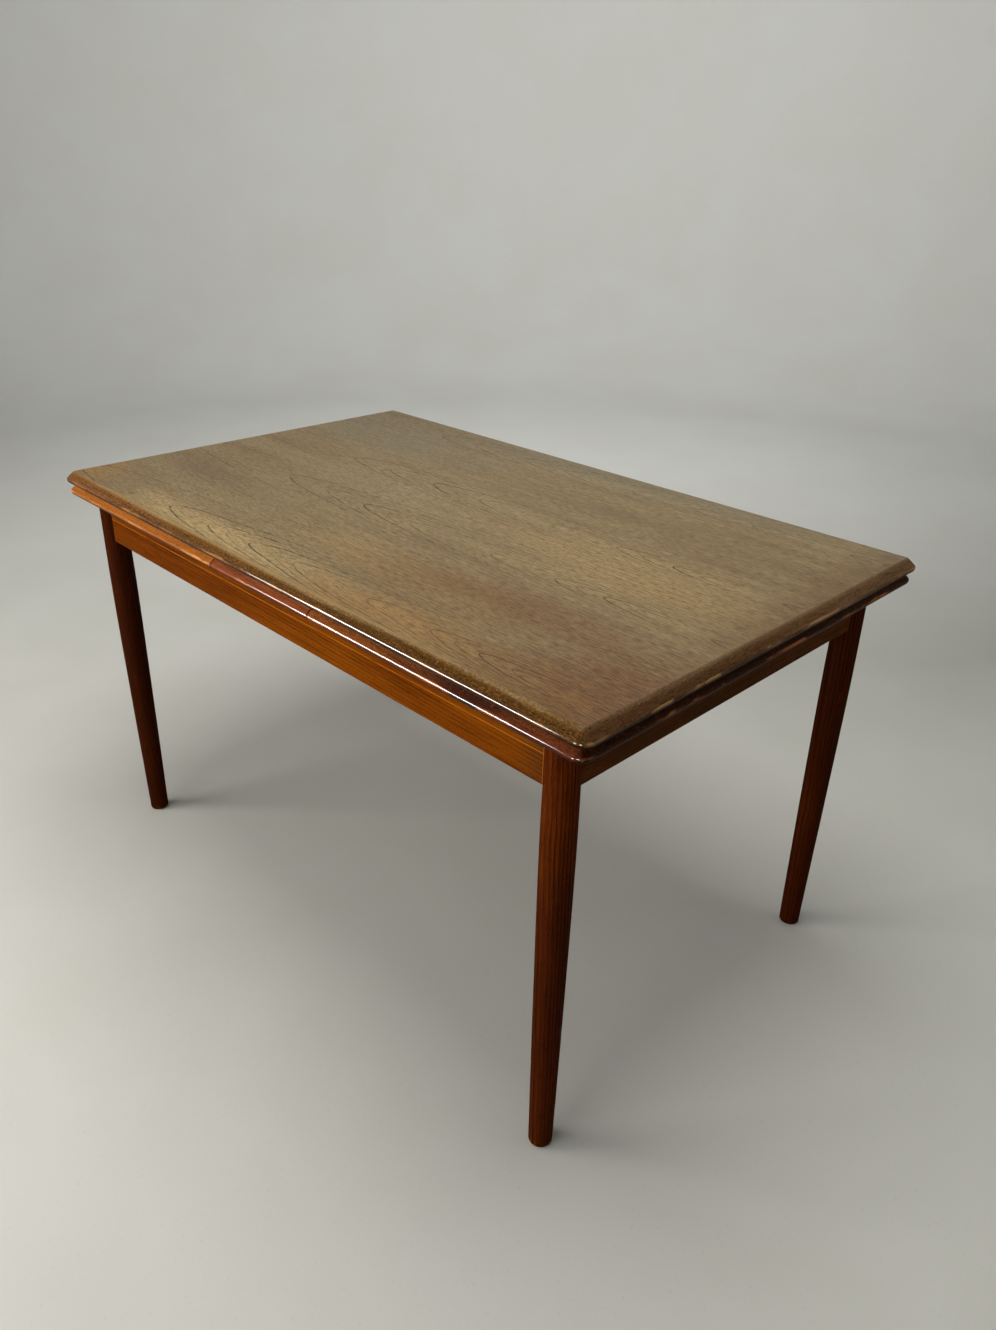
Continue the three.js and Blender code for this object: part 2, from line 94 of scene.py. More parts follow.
LEG_LEVELS = (  # (height, radius)
    (5.5 * MM, 18.0 * MM), (275 * MM, 21.4 * MM), (525 * MM, 23.6 * MM), (706.5 * MM, 22.6 * MM),
)
FOOT_ROUNDING = 4 * MM
GLIDE_ROOM = 0.3 * MM  # round the glide in its recess
RECESS_DEPTH = 1.4 * MM
RIM_CHAMFER = 0.4 * MM
LEG_TOP_CHAMFER = 0.8 * MM
LEG_STEP = 10 * MM
LEG_AROUND = 72
LEG_UNEVENNESS = 0.08 * MM
LEG_DENT_DEPTH = 0.8 * MM
LEG_DENT_START = 0.45
FOOT_WEAR_HEIGHT = 45 * MM

SIDES = ("front", "back", "left", "right")
CORNERS = ("front_left", "front_right", "back_left", "back_right")

# ---- noise in wood

# Cells per metre, along the grain and across it
PATCHES = (2.4, 10.0)
STREAKS = (4.0, 110.0)
FIBRES = (20.0, 520.0)
BREAKS = (22.0, 120.0)  # breaks in the growth lines
RAGGEDNESS = (30.0, 70.0)
DASHES = (60.0, 480.0)
CELLS = (110.0, 1300.0)
GRAINS = (260.0, 430.0)
SLOW_WANDER = (5.0, 14.0)  # of the growth rings
ZONE_EDGES = (6.0, 22.0)

SLOW_WANDER_SIZE = 3
SHEET_SEED = 0.25
DEPTH_SEED = 8.0
PORE_SOFTNESS = 0.08
LINE_PHASE = 0.7
LINE_SHARE = 0.15  # of its ring, at the widest
ZONE_RAGGEDNESS = 1.1
SHEET_CONTRAST = 0.16
THREAD_WANDER = 3 * MM


# ---- shader building

def srgb(red, green, blue):
    """A colour given 0 to 255, as the linear values that shaders take."""
    def linear(value):
        value /= 255
        return value / 12.92 if value <= 0.04045 else ((value + 0.055) / 1.055) ** 2.4
    return (linear(red), linear(green), linear(blue), 1.0)


def darker(color, share):
    return tuple(share * value for value in color[:3]) + (1.0,)


class Shader:
    """A material in the making. Inputs may be numbers, colours or sockets of earlier nodes."""

    def __init__(self, name):
        self.material = bpy.data.materials.new(name)
        self.material.use_nodes = True
        self.tree = self.material.node_tree
        self.principled = self.tree.nodes["Principled BSDF"]

    def node(self, kind, **settings):
        made = self.tree.nodes.new(kind)
        for key, value in settings.items():
            setattr(made, key, value)
        return made

    def feed(self, socket, value):
        if isinstance(value, bpy.types.NodeSocket):
            self.tree.links.new(value, socket)
        else:
            socket.default_value = value

    def maths(self, operation, *values):
        made = self.node("ShaderNodeMath", operation=operation)
        for socket, value in zip(made.inputs, values):
            self.feed(socket, value)
        return made.outputs[0]

    def add(self, a, b):
        return self.maths("ADD", a, b)

    def times(self, a, b):
        return self.maths("MULTIPLY", a, b)

    def length(self, a, b):
        return self.maths("SQRT", self.add(self.times(a, a), self.times(b, b)))

    def vector(self, x, y, z):
        made = self.node("ShaderNodeCombineXYZ")
        for socket, value in zip(made.inputs, (x, y, z)):
            self.feed(socket, value)
        return made.outputs[0]

    def split(self, vector):
        made = self.node("ShaderNodeSeparateXYZ")
        self.feed(made.inputs[0], vector)
        return tuple(made.outputs)

    def noise(self, vector, detail=2.0, roughness=0.5):
        made = self.node("ShaderNodeTexNoise")
        self.feed(made.inputs["Vector"], vector)
        made.inputs["Scale"].default_value = 1.0
        made.inputs["Detail"].default_value = detail
        made.inputs["Roughness"].default_value = roughness
        return made.outputs["Fac"]

    def grain_noise(self, axes, scales, detail=2.0, roughness=0.5):
        """Noise with its cells stretched along the grain."""
        along, across, deep = axes
        lengthwise, crosswise = scales
        place = self.vector(
            self.times(along, lengthwise), self.times(across, crosswise), self.times(deep, crosswise)
        )
        return self.noise(place, detail, roughness)

    def even_noise(self, scale, detail=2.0, roughness=0.5):
        return self.grain_noise(self.place(), (scale, scale), detail, roughness)

    def random(self, value):
        made = self.node("ShaderNodeTexWhiteNoise", noise_dimensions="1D")
        self.feed(made.inputs["W"], value)
        return made.outputs["Value"]

    def remap(self, value, low, high, to_low=0.0, to_high=1.0):
        made = self.node("ShaderNodeMapRange", interpolation_type="SMOOTHSTEP")
        for socket, given in zip(made.inputs, (value, low, high, to_low, to_high)):
            self.feed(socket, given)
        return made.outputs[0]

    def mix(self, factor, a, b, blend="MIX"):
        made = self.node("ShaderNodeMix", data_type="RGBA", blend_type=blend)
        self.feed(made.inputs[0], factor)
        self.feed(made.inputs[6], a)
        self.feed(made.inputs[7], b)
        return made.outputs[2]

    def place(self):
        return self.split(self.node("ShaderNodeTexCoord").outputs["Object"])

    def attribute(self, name):
        made = self.node("ShaderNodeAttribute", attribute_name=name)
        return made.outputs["Fac"]

    def bump(self, height, strength, distance):
        made = self.node("ShaderNodeBump")
        made.inputs["Strength"].default_value = strength
        made.inputs["Distance"].default_value = distance
        self.feed(made.inputs["Height"], height)
        return made.outputs["Normal"]


# ---- wood

SHADE_AND_GRIME = srgb(92, 66, 52)  # painted shade in the grooves under the noses, and dark seams between pieces

WOOD = {
    "light": srgb(150, 118, 80),
    "dark": srgb(120, 90, 60),
    "line": srgb(80, 52, 30),  # also fibres and pores
    "grain": "x",
    "origin": (0, 0, 0),  # along, across and through the grain
    "sheets": None,  # (first seam, width, middle of the figure) of bookmatched veneer
    "sheet_shift": 0.02,
    "pith": (0.0, -0.12),  # middle of the tree
    "tilt": (0.0, 0.0),  # drift of the grain across, along its length
    "ring": 4 * MM,
    "ring_depth": 0.5,
    "ring_share": 0.15,  # share of the rings that hardly show
    "ring_start": 0.74,
    "line_width": None,  # half width of equally fine lines
    "band_depth": 0.12,
    "warp": 3 * MM,
    "jitter": 1.0,
    "streak_depth": 0.25,
    "fibre_depth": 0.25,
    "hatch_depth": 0.0,  # short dark dashes along the grain
    "pore_depth": 0.5,
    "pore_share": 0.62,
    "speckle_depth": 0.0,
    "patch_depth": 0.6,
    "zones": (),  # soft oval patches: (x, y, reach along x, reach along y, colour, strength)
    "spots": (),  # (x, y, radius) of tiny dark marks
    "thread": None,  # (height, half width, colour) of one pale thread in the grain
    "low_dark": None,  # (start, full, share) of painted shade, down a darker lower part
    "crown": None,  # (colour, from, to) of the faded inner part of a speckled edge
    "worn": None,  # colour where the edges are rubbed, and of a painted highlight on the aprons' end arrises
    "roughness": (0.34, 0.5),
    "specular": 0.4,
    "tint": (1.0, 0.86, 0.7, 1.0),
    "coat": 0.0,
    "nose_coat": None,  # coat where a nose is polished by use
    "coat_roughness": 0.15,
    "bump": 0.25,
}
BUMP_DISTANCE = 0.12 * MM


def grain_axes(s, look):
    """Distances along, across and through the grain."""
    x, y, z = s.place()
    order = {"x": (x, y, z), "y": (y, x, z), "z": (z, x, y)}[look["grain"]]
    return tuple(s.add(axis, shift) for axis, shift in zip(order, look["origin"]))


def sheet_axes(s, look, axes):
    """The same within a sheet of bookmatched veneer, with the sheet's number and a seed."""
    along, across, deep = axes
    if not look["sheets"]:
        return axes, None, s.times(deep, DEPTH_SEED)
    seam, width, middle = look["sheets"]
    from_seam = s.add(across, -seam)
    sheet = s.maths("FLOOR", s.maths("DIVIDE", from_seam, width))
    across = s.add(s.maths("PINGPONG", from_seam, width), -middle)
    along = s.add(along, s.times(sheet, look["sheet_shift"]))
    return (along, across, deep), sheet, s.times(sheet, SHEET_SEED)


def growth_rings(s, look, axes, seed):
    """Place within a ring, the ring's random strength, and how far it spreads here."""
    along, across, deep = axes
    slow = s.noise(s.vector(s.times(along, SLOW_WANDER[0]), s.times(across, SLOW_WANDER[1]), seed), 1.0)
    quick = s.grain_noise(axes, RAGGEDNESS)
    wander = s.add(
        s.times(s.add(slow, -0.5), look["warp"] * SLOW_WANDER_SIZE),
        s.times(s.add(quick, -0.5), look["warp"] * look["jitter"]),
    )
    flat = s.add(s.add(across, -look["pith"][0]), s.times(along, look["tilt"][0]))
    depth = s.add(s.add(deep, -look["pith"][1]), s.times(along, look["tilt"][1]))
    radius = s.length(flat, depth)
    rings = s.maths("DIVIDE", s.add(radius, wander), look["ring"])
    drift = s.add(s.times(flat, look["tilt"][0]), s.times(depth, look["tilt"][1]))
    spread = s.maths("DIVIDE", s.times(radius, look["ring"]), s.length(flat, drift))
    return s.maths("FRACT", rings), s.random(s.maths("FLOOR", rings)), spread


def growth_lines(s, look, axes, seed):
    """How dark the lines are here, the place within a ring, and what breaks the lines."""
    phase, strength, spread = growth_rings(s, look, axes, seed)
    if look["line_width"]:
        away = s.times(s.maths("ABSOLUTE", s.add(phase, -LINE_PHASE)), spread)
        reach = s.maths("MINIMUM", s.times(spread, LINE_SHARE), look["line_width"])
        late = s.remap(s.maths("DIVIDE", away, reach), 1.0, 0.3)
    else:
        late = s.times(s.remap(phase, look["ring_start"], 0.95), s.remap(phase, 1.0, 0.96))
    broken = s.grain_noise(axes, BREAKS, 3.0)
    shown = s.remap(strength, look["ring_share"], 1.0, 0.1, 1.0)
    line = s.times(s.times(late, shown), s.remap(broken, 0.32, 0.54, 0.3, 1.0))
    return line, phase, broken


def add_zones(s, look, color):
    if not look["zones"]:
        return color
    x, y, z = s.place()
    ragged = s.noise(s.vector(s.times(x, ZONE_EDGES[0]), s.times(y, ZONE_EDGES[1]), z), 3.0, 0.6)
    for centre_x, centre_y, reach_x, reach_y, tone, strength in look["zones"]:
        off = s.length(
            s.times(s.add(x, -centre_x), 1 / reach_x), s.times(s.add(y, -centre_y), 1 / reach_y)
        )
        off = s.add(off, s.times(s.add(ragged, -0.5), ZONE_RAGGEDNESS))
        color = s.mix(s.remap(off, 1.15, 0.1, 0.0, strength), color, tone)
    return color


def add_hatch(s, look, axes, color):
    """Short dashes along the grain, dark ones and fewer pale ones."""
    if not look["hatch_depth"]:
        return color
    dashes = s.grain_noise(axes, DASHES, 1.0)
    color = s.mix(s.remap(dashes, 0.47, 0.62, 0.0, look["hatch_depth"]), color, look["line"])
    return s.mix(s.remap(dashes, 0.44, 0.3, 0.0, look["hatch_depth"] * 0.5), color, look["light"])


def add_speckle(s, look, axes, color, relief):
    """Dark pits and pale points, as in old polish. Gives their noise as well."""
    if not look["speckle_depth"]:
        return color, relief, None
    grains = s.grain_noise(axes, GRAINS, 3.0, 0.6)
    pits = s.remap(grains, 0.47, 0.56)
    glow = s.remap(grains, 0.42, 0.34)
    color = s.mix(s.times(glow, look["speckle_depth"] * 0.5), color, look["worn"] or look["light"])
    color = s.mix(s.times(pits, look["speckle_depth"]), color, look["line"])
    return color, s.add(relief, s.times(pits, -0.6)), grains


def add_crown(s, look, color, streaks, grains, fibres):
    """The inner part of a board's edge, faded like the field beside it."""
    if not look["crown"]:
        return color
    tone, start, end = look["crown"]
    faded = s.add(s.attribute("crown"), s.times(s.add(streaks, -0.5), 0.5))
    faded = s.add(faded, s.times(s.add(grains, -0.5), 0.9))
    fibrous = s.mix(s.times(fibres, 0.5), tone, look["line"])
    return s.mix(s.times(s.remap(faded, start, end), 0.9), color, fibrous)


def add_marks(s, look, color, broken):
    if not (look["low_dark"] or look["spots"] or look["thread"]):
        return color
    x, y, z = s.place()
    # painted shade: darker towards the bottom
    if look["low_dark"]:
        start, end, share = look["low_dark"]
        color = s.mix(s.remap(z, start, end, 0.0, share), color, look["line"])
    for spot_x, spot_y, reach in look["spots"]:
        off = s.length(s.add(x, -spot_x), s.add(y, -spot_y))
        color = s.mix(s.remap(off, reach, reach * 0.4, 0.0, 0.75), color, look["line"])
    if look["thread"]:
        height, reach, tone = look["thread"]
        sway = s.times(s.add(s.noise(s.vector(s.times(x, 3.0), 0, 0)), -0.5), THREAD_WANDER)
        off = s.maths("ABSOLUTE", s.add(s.add(z, -height), sway))
        shown = s.times(s.remap(off, reach, 0.0), s.remap(broken, 0.3, 0.5, 0.3, 0.8))
        color = s.mix(shown, color, tone)
    return color


def finish_wood(s, look, color, roughness, relief):
    """Sets the shader: sockets where the surface varies, plain values where it doesn't."""
    shader = s.principled.inputs
    if look["nose_coat"] is None:
        shader["Coat Weight"].default_value = look["coat"]
    else:
        # Darkens by the shade attribute: painted shade below the noses, and dark seams at the ends of edge
        # pieces
        color = s.mix(s.attribute("shade"), color, SHADE_AND_GRIME, "MULTIPLY")
        gloss = s.remap(s.attribute("gloss"), 0.0, 1.0, look["coat"], look["nose_coat"])
        s.feed(shader["Coat Weight"], gloss)
    s.feed(shader["Base Color"], color)
    s.feed(shader["Roughness"], roughness)
    s.feed(shader["Normal"], s.bump(relief, look["bump"], BUMP_DISTANCE))
    shader["Specular IOR Level"].default_value = look["specular"]
    shader["Specular Tint"].default_value = look["tint"]
    shader["Coat Roughness"].default_value = look["coat_roughness"]


def wood(name, **changes):
    """A material for wood, by the values in WOOD and the changes to them."""
    look = {**WOOD, **changes}
    s = Shader(name)
    axes, sheet, seed = sheet_axes(s, look, grain_axes(s, look))
    line, phase, broken = growth_lines(s, look, axes, seed)
    streaks = s.grain_noise(axes, STREAKS, 3.0)
    fibres = s.grain_noise(axes, FIBRES)
    cells = s.grain_noise(axes, CELLS, 1.0)
    pores = s.remap(cells, look["pore_share"], look["pore_share"] + PORE_SOFTNESS)
    patches = s.grain_noise(axes, PATCHES, 2.0, 0.6)

    half = look["patch_depth"] / 2
    color = s.mix(s.remap(patches, 0.35, 0.65, 0.5 - half, 0.5 + half), look["light"], look["dark"])
    color = add_zones(s, look, color)
    if sheet is not None:
        color = s.mix(s.times(s.random(s.add(sheet, 0.5)), SHEET_CONTRAST), color, look["dark"])
    color = s.mix(s.times(phase, look["band_depth"]), color, look["line"])
    color = s.mix(s.remap(streaks, 0.35, 0.7, 0.0, look["streak_depth"]), color, look["line"])
    color = s.mix(s.remap(fibres, 0.35, 0.7, 0.0, look["fibre_depth"]), color, look["line"])
    color = add_hatch(s, look, axes, color)
    color = s.mix(s.times(line, look["ring_depth"]), color, look["line"])
    color = s.mix(s.times(pores, look["pore_depth"]), color, look["line"], "MULTIPLY")
    relief = s.add(s.times(fibres, 0.5), s.times(pores, -0.8))
    color, relief, grains = add_speckle(s, look, axes, color, relief)
    color = add_crown(s, look, color, streaks, grains, fibres)
    smooth, rough = look["roughness"]
    roughness = s.remap(s.add(s.times(fibres, 0.5), s.times(patches, 0.5)), 0.35, 0.65, smooth, rough)
    # Paler where the edges are rubbed or dented, and on the aprons' end arrises, where it is a painted
    # highlight
    if look["worn"]:
        worn = s.remap(s.attribute("wear_and_highlight"), 0.45, 0.8)
        color = s.mix(s.times(worn, 0.75), color, look["worn"])
        roughness = s.add(roughness, s.times(worn, 0.1))
    finish_wood(s, look, add_marks(s, look, color, broken), roughness, relief)
    return s.material


YELLOW = srgb(182, 156, 106)
STRAW = srgb(164, 138, 92)
HONEY = srgb(158, 116, 60)
OLIVE = srgb(148, 132, 98)
RUSSET = srgb(106, 62, 29)
UMBER = srgb(112, 92, 66)
# Painted sheen: the grey that the wall's reflection gives the back of the top
SHEEN_GREY = srgb(124, 114, 92)
SEPIA = srgb(112, 84, 58)
SADDLE = srgb(126, 90, 42)
SHEETS = (-0.43, 0.21, 0.085)  # seams of the bookmatched veneers
TOP_ZONES = (
    (-0.18, -0.37, 0.36, 0.07, YELLOW, 0.9),
    (0.05, -0.24, 0.16, 0.07, YELLOW, 0.45),
    (0.42, 0.00, 0.34, 0.11, STRAW, 0.75),
    (0.26, -0.36, 0.24, 0.06, HONEY, 0.7),
    (-0.25, 0.00, 0.24, 0.14, OLIVE, 0.6),
    (-0.48, -0.19, 0.24, 0.07, UMBER, 0.7),
    (0.10, -0.12, 0.10, 0.05, UMBER, 0.4),
    (0.20, 0.20, 0.12, 0.05, UMBER, 0.5),
    (0.36, -0.20, 0.24, 0.07, RUSSET, 0.45),
    (0.62, -0.33, 0.20, 0.17, RUSSET, 0.9),
    (0.65, 0.16, 0.10, 0.52, SEPIA, 0.8),
    (-0.62, -0.36, 0.10, 0.10, HONEY, 0.6),
    # painted sheen of the wall, greyer at the back left
    (-0.45, 0.24, 0.42, 0.16, SHEEN_GREY, 0.65),
    (0.22, -0.25, 0.32, 0.08, SADDLE, 0.5),
    (0.50, -0.36, 0.20, 0.08, SADDLE, 0.6),
    # painted sheen of the wall along the back
    (0.05, 0.37, 0.75, 0.09, SHEEN_GREY, 0.6),
)
TOP_SPOTS = (
    (0.195, -0.03, 2.4 * MM), (0.335, -0.10, 2.0 * MM), (0.35, -0.20, 1.3 * MM),
    (0.405, -0.225, 1.2 * MM), (0.42, -0.23, 1.5 * MM), (0.42, -0.245, 1.2 * MM),
    (0.435, -0.25, 1.0 * MM), (0.40, -0.255, 1.0 * MM),
)


def top_veneer():
    return wood(
        "top_veneer", light=srgb(149, 130, 91), dark=srgb(129, 108, 77), line=srgb(46, 26, 14),
        sheets=SHEETS, pith=(0.0, 0.696), tilt=(0.0, -0.065), ring=3.8 * MM, ring_depth=1.0,
        ring_share=0.2, line_width=1.7 * MM, band_depth=0.05, warp=2.2 * MM, jitter=0.4,
        streak_depth=0.1, fibre_depth=0.24, hatch_depth=0.4, pore_depth=0.8,
        zones=TOP_ZONES, spots=TOP_SPOTS, roughness=(0.4, 0.5), specular=0.22, tint=(1.0, 0.9, 0.78, 1.0),
    )


def leaf_veneer(name, shift):
    return wood(
        name, light=srgb(164, 108, 58), dark=srgb(136, 82, 42), line=srgb(66, 32, 12),
        sheets=SHEETS, pith=(0.0, 0.66), tilt=(0.0, -0.06), origin=(shift, 0, 0),
        ring=5.2 * MM, ring_depth=1.0, ring_share=0.1, line_width=1.7 * MM, jitter=0.5, warp=2.2 * MM,
        hatch_depth=0.3, pore_depth=0.7, roughness=(0.36, 0.48), specular=0.25,
    )


def edge_teak(name, grain, origin, **changes):
    look = dict(
        grain=grain, origin=origin, pith=(0.05, -0.09), tilt=(0.01, 0.02), ring=2.6 * MM,
        warp=1.2 * MM, fibre_depth=0.3, pore_share=0.56, pore_depth=0.6,
        roughness=(0.36, 0.46), specular=0.03, tint=(1.0, 0.6, 0.3, 1.0), coat=0.06, nose_coat=0.9,
        coat_roughness=0.055,
    )
    return wood(name, **{**look, **changes})


# ---- metal and nylon

def mottled(name, tones, color_range, roughness, mottle_scale, detail, grain, relief):
    s = Shader(name)
    mottle = s.even_noise(mottle_scale, detail, grain)
    s.feed(s.principled.inputs["Base Color"], s.mix(s.remap(mottle, *color_range), *tones))
    s.feed(s.principled.inputs["Roughness"], s.remap(mottle, 0.3, 0.7, *roughness))
    s.feed(s.principled.inputs["Normal"], s.bump(mottle, 0.3, relief))
    return s


def zinc_steel():
    bright = srgb(176, 176, 172)
    s = mottled(
        "zinc_steel", (bright, darker(bright, 0.6)), (0.35, 0.7), (0.3, 0.5), 700.0, 3.0, 0.5, 0.05 * MM
    )
    s.principled.inputs["Metallic"].default_value = 1.0
    return s.material


def nylon():
    tones = (srgb(44, 41, 38), srgb(86, 80, 72))
    return mottled("nylon", tones, (0.35, 0.7), (0.45, 0.7), 220.0, 4.0, 0.6, 0.1 * MM).material


# ---- mesh building

def finish_piece(name, mesh, material, body, node, angle=35):
    """Links a mesh as a piece that stands for a CAD node, with smooth faces and sharp arrises."""
    bm = bmesh.new()
    bm.from_mesh(mesh)
    bmesh.ops.recalc_face_normals(bm, faces=bm.faces)
    bm.to_mesh(mesh)
    bm.free()
    for face in mesh.polygons:
        face.use_smooth = True
    mesh.set_sharp_from_angle(angle=math.radians(angle))
    mesh.materials.append(material)
    piece = bpy.data.objects.new(name, mesh)
    bpy.context.scene.collection.objects.link(piece)
    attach(piece, body)
    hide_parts(node)


def lofted(name, rings, marks=None):
    """A closed mesh through rings of points. marks holds one value per point, for the material."""
    count = len(rings[0])
    points = [point for ring in rings for point in ring]
    faces = []
    for i in range(len(rings) - 1):
        for j in range(count):
            k = (j + 1) % count
            faces.append((i * count + j, i * count + k, (i + 1) * count + k, (i + 1) * count + j))
    faces.append(tuple(range(count)))
    faces.append(tuple((len(rings) - 1) * count + j for j in reversed(range(count))))
    mesh = bpy.data.meshes.new(name)
    mesh.from_pydata(points, [], faces)
    for key, values in (marks or {}).items():
        layer = mesh.attributes.new(key, "FLOAT", "POINT")
        layer.data.foreach_set("value", [value for ring in values for value in ring])
    return mesh


def quadratic(start, control, end, steps):
    """Points of a quadratic curve, without its first one."""
    points = []
    for i in range(1, steps + 1):
        t = i / steps
        points.append(tuple(
            (1 - t) ** 2 * a + 2 * t * (1 - t) * b + t * t * c for a, b, c in zip(start, control, end)
        ))
    return points


def near(distance, reach):
    return math.exp(-((distance / reach) ** 2))


# ---- edges of boards

def edge_profile(upper, lower):
    """Section of a board's solid edge as (distance in from the nose, height)."""
    nose = upper - NOSE_DROP
    slope = (NOSE_DROP - NOSE_RISE) / (BEVEL_WIDTH - NOSE_ROUNDING)
    pull_in, pull_up = UNDERCUT_PULL
    points = [(EDGE_WIDTH, lower), (EDGE_WIDTH - FLAT_UNDER, lower), (UNDERCUT, lower)]
    points += quadratic(points[-1], (pull_in, lower + pull_up), (0.0, nose), 8)
    points += quadratic(
        points[-1], (0.0, nose + NOSE_RISE - slope * NOSE_ROUNDING), (NOSE_ROUNDING, nose + NOSE_RISE), 7
    )
    points += [(BEVEL_WIDTH * 0.5, nose + NOSE_RISE + slope * (BEVEL_WIDTH * 0.5 - NOSE_ROUNDING))]
    points += [(BEVEL_WIDTH - ROLL_OVER, upper - ROLL_OVER * slope)]
    points += quadratic(points[-1], (BEVEL_WIDTH, upper), (EDGE_WIDTH, upper), 9)
    return points


def stations(side, half_x, half_y, radius, start=None, end=None):
    """Sections along a side of a rounded rectangle, anticlockwise, as (anchor, direction, distance).

    start and end are None for a mitred corner, or the distance of a square end from the middle.
    """
    outward, along, out, half = {
        "right": (Vector((1, 0)), Vector((0, 1)), half_x, half_y),
        "back": (Vector((0, 1)), Vector((-1, 0)), half_y, half_x),
        "left": (Vector((-1, 0)), Vector((0, -1)), half_x, half_y),
        "front": (Vector((0, -1)), Vector((1, 0)), half_y, half_x),
    }[side]
    straight = half - radius
    mitre = math.radians(45) - FINE_GAP / radius
    found = []

    def corner(sign, angles):
        centre = outward * (out - radius) + along * sign * straight
        for angle in angles:
            direction = outward * math.cos(angle) + along * sign * math.sin(angle)
            found.append((centre, direction, sign * (straight + radius * angle)))

    if start is None:
        corner(-1, [mitre * (1 - i / CORNER_SECTIONS) for i in range(CORNER_SECTIONS)])
    low = -straight if start is None else start
    high = straight if end is None else end
    steps = max(2, round((high - low) / STATION_STEP))
    for i in range(steps + 1):
        distance = low + (high - low) * i / steps
        found.append((outward * (out - radius) + along * distance, outward, distance))
    if end is None:
        corner(1, [mitre * (i + 1) / CORNER_SECTIONS for i in range(CORNER_SECTIONS)])
    return found


def inset_station(station, inner, amount):
    """A station moved in from an end, towards the next one."""
    anchor, direction, distance = station
    step = inner[2] - distance
    if abs(step) < 1e-9 or direction != inner[1]:
        return station
    moved = anchor + (inner[0] - anchor) * (amount / abs(step))
    return moved, direction, distance + math.copysign(amount, step)


def end_stations(station, inner):
    """The sections of an end, from the outside in, as (station, shrink, shade)."""
    return [
        (station, END_SHRINK, 1.0),
        (inset_station(station, inner, ARRIS), 0.0, JOINT_SHADE),
        (inset_station(station, inner, 3 * ARRIS), 0.0, 0.0),
    ]


class EdgeMarks:
    """Values for the material along an edge piece."""

    def __init__(self, upper, reach, seed, rubs):
        self.upper = upper
        self.nose = upper - NOSE_DROP
        self.reach = reach  # from the middle of the side to its end
        self.seed = seed
        self.rubs = rubs
        self.layers = {"wear_and_highlight": [], "crown": [], "gloss": [], "shade": []}

    def nose_wear(self, inset, height):
        return near(inset, NOSE_REACH) if height < self.upper - NOSE_CLEAR else 0.0

    def dent(self, distance):
        return max(0.0, noise.noise(Vector((distance * 90, self.seed + 7, 3.1))) - DENT_START)

    def wear_and_highlight(self, inset, height, distance):
        upper_arris = near(inset - BEVEL_WIDTH, ARRIS_REACH) if height > self.upper - ARRIS_DEPTH else 0.0
        scatter = 0.5 + 0.5 * noise.noise(Vector((distance * 14, self.seed + 3, 0.7)))
        fine = 0.5 + 0.5 * noise.noise(Vector((distance * 120, self.seed + 5, height * 300)))
        bare = any(low <= distance <= high for low, high in self.rubs) and inset < RUB_REACH
        rubbed = max(self.nose_wear(inset, height), ARRIS_WEAR * upper_arris) * scatter * (0.5 + fine)
        return rubbed + self.dent(distance) + (fine * RUB_WEAR if bare else 0.0)

    def crown(self, inset, height, distance):
        narrow = 1.0 - CROWN_TAPER * min(1.0, abs(distance) / self.reach) ** 2
        return inset / EDGE_WIDTH * narrow if height > self.nose else 0.0

    def gloss(self, inset, height):
        return near(inset, GLOSS_REACH) if height > self.nose + GLOSS_START else 0.0

    def shade(self, height, joint):
        return max(joint, min(1.0, max(0.0, (self.nose - height) / SHADE_DEPTH)))

    def add_section(self, profile, distance, joint):
        self.layers["wear_and_highlight"].append([self.wear_and_highlight(inset, height, distance) for inset, height in profile])
        self.layers["crown"].append([self.crown(inset, height, distance) for inset, height in profile])
        self.layers["gloss"].append([self.gloss(inset, height) for inset, height in profile])
        self.layers["shade"].append([self.shade(height, joint) for inset, height in profile])


def edge_piece(
    name, node, side, half, radius, body, material, start=None, end=None, seed=0.0, rubs=(),
):
    """A solid edge of a board, rubbed and dented along its nose."""
    low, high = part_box(node)
    upper, lower = high[2], low[2]
    profile = edge_profile(upper, lower)
    run = stations(side, half[0], half[1], radius, start, end)
    sections = end_stations(run[0], run[1])
    sections += [(station, 0.0, 0.0) for station in run[1:-1]]
    sections += reversed(end_stations(run[-1], run[-2]))
    middle_inset = EDGE_WIDTH * 0.55
    middle_height = (upper + lower) / 2
    marks = EdgeMarks(upper, half[0] if side in ("front", "back") else half[1], seed, rubs)
    rings = []
    for (anchor, direction, distance), shrink, joint in sections:
        ring = []
        for inset, height in profile:
            uneven = noise.noise(Vector((distance * 28, seed, height * 40))) + 1
            worn_away = UNEVENNESS * uneven + DENT_DEPTH * marks.dent(distance)
            worn_inset = inset + marks.nose_wear(inset, height) * worn_away
            if inset == EDGE_WIDTH:
                worn_inset = inset
            worn_inset += shrink * (middle_inset - worn_inset)
            flat = anchor + direction * (radius - worn_inset)
            ring.append((flat.x, flat.y, height + shrink * (middle_height - height)))
        rings.append(ring)
        marks.add_section(profile, distance, joint)
    finish_piece(name, lofted(name, rings, marks.layers), material, body, node)


# ---- fields and bars

